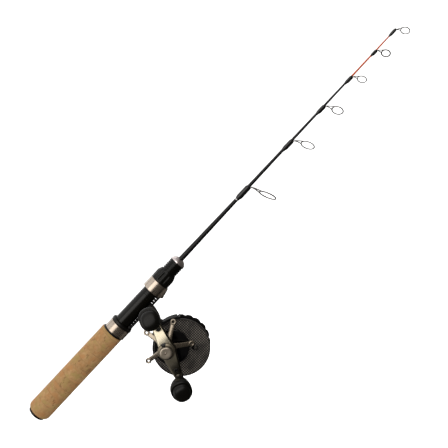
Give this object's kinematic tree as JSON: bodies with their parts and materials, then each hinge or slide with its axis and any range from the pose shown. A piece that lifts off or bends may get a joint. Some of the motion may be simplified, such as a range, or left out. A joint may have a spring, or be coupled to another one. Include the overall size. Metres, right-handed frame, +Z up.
{
  "type": "ice fishing rod",
  "caption": "Short ice fishing rod with a cork grip, sliding hood reel seat, wire guides and a geared inline reel with a bowed double crank.",
  "frame": {"origin": "centre of the butt cap's flat end face", "axes": "+X along the rod towards the tip, +Z up, guides and reel hang to -Z, crank on the -Y side"},
  "size_m": [0.6078, 0.0782, 0.1168],
  "materials": {
    "cork": "open-pored cork, satin",
    "soft_black": "matt",
    "seat_black": "satin",
    "brushed_metal": "brushed satin",
    "bright_metal": "polished",
    "graphite": "clear-coated",
    "orange_glass": "clear-coated",
    "wrap_black": "epoxy gloss",
    "frame_black": "fine matt",
    "weave": "woven, clear-coated",
    "cover_black": "gloss",
    "spool_metal": "satin",
    "gear_brass": "machined",
    "steel": "machined",
    "warm_metal": "satin, warm grey",
    "friction": "oiled"
  },
  "bodies": {
    "rod": {"butt_cap": "soft_black", "cork_grip": "cork", "cork_top_ring": "soft_black", "fixed_hood": "brushed_metal", "hood_cushion": "soft_black", "seat_barrel": "seat_black", "winding_check": "bright_metal", "seat_arbors": "frame_black", "rod_blank": "graphite", "rod_tip": "orange_glass", "guide_frame_1": "bright_metal", "guide_frame_2": "bright_metal", "guide_frame_3": "bright_metal", "guide_frame_4": "bright_metal", "guide_frame_5": "bright_metal", "tip_top": "bright_metal", "guide_rings": "steel", "thread_wrap_1": "wrap_black", "thread_wrap_2": "wrap_black", "thread_wrap_3": "wrap_black", "thread_wrap_4": "wrap_black", "thread_wrap_5": "wrap_black", "trim_wrap": "bright_metal", "reel_foot": "frame_black", "foot_screws": "steel", "reel_frame": "frame_black", "line_guard": "bright_metal", "side_plate": "weave", "plate_bezel": "seat_black", "gear_cover": "cover_black", "plate_screws": "steel", "bearing_front": "steel", "bearing_rear": "steel", "shaft_bushes": "gear_brass", "pawl_spring": "steel"},
    "crank": {"main_shaft": "steel", "drive_gear": "gear_brass", "ratchet_wheel": "steel", "drag_washers": "friction", "drag_sleeve": "steel", "crank_collar": "seat_black", "crank_arm": "warm_metal", "crank_nut": "warm_metal", "knob_pins": "steel"},
    "spool": {"spool_arbor": "spool_metal", "spool_flange": "spool_metal", "palming_rim": "frame_black", "click_gear": "steel", "spool_shaft": "steel", "spool_cap": "spool_metal", "pinion_gear": "gear_brass"},
    "star": {"star_drag": "warm_metal"},
    "knob_one": {"knob_1": "soft_black"},
    "knob_two": {"knob_2": "soft_black"},
    "hood": {"sliding_hood": "brushed_metal"},
    "nut": {"lock_nut": "seat_black"},
    "pawl_body": {"pawl": "steel"},
    "click": {"click_button": "frame_black"}
  },
  "joints": [
    {"name": "crank_turn", "type": "hinge", "parent": "rod", "child": "crank", "pos_m": [0.16195, -0.04, -0.05331], "axis": [0, -1, 0], "continuous": true},
    {"name": "spool_turn", "type": "hinge", "parent": "rod", "child": "spool", "pos_m": [0.1693, 0, -0.0678], "axis": [0, -1, 0], "continuous": true},
    {"name": "star_turn", "type": "hinge", "parent": "crank", "child": "star", "pos_m": [0.16195, -0.024, -0.05331], "axis": [0, -1, 0], "range_deg": [-180, 180]},
    {"name": "knob_one_spin", "type": "hinge", "parent": "crank", "child": "knob_one", "pos_m": [0.17561, -0.03462, -0.02218], "axis": [0.1348, -0.9421, 0.3072], "continuous": true},
    {"name": "knob_two_spin", "type": "hinge", "parent": "crank", "child": "knob_two", "pos_m": [0.14828, -0.03462, -0.08444], "axis": [-0.1348, -0.9421, -0.3072], "continuous": true},
    {"name": "hood_slide", "type": "slide", "parent": "rod", "child": "hood", "axis": [1, 0, 0], "range_m": [0, 0.012]},
    {"name": "nut_turn", "type": "hinge", "parent": "hood", "child": "nut", "pos_m": [0.21, 0, 0], "axis": [1, 0, 0], "range_deg": [0, 1728]},
    {"name": "pawl_lift", "type": "hinge", "parent": "rod", "child": "pawl_body", "pos_m": [0.15195, -0.0103, -0.06081], "axis": [0, -1, 0], "range_deg": [0, 15], "stiffness_Nm_per_rad": 0.002, "springref_deg": -17.19},
    {"name": "click_slide", "type": "slide", "parent": "rod", "child": "click", "axis": [-0.6561, 0, 0.7547], "range_m": [0, 0.0024]}
  ],
  "couplings": [
    {"joint": "spool_turn", "follows": "crank_turn", "ratio": -2.8571},
    {"joint": "hood_slide", "follows": "nut_turn", "m_per_rad": 0.00039789}
  ]
}
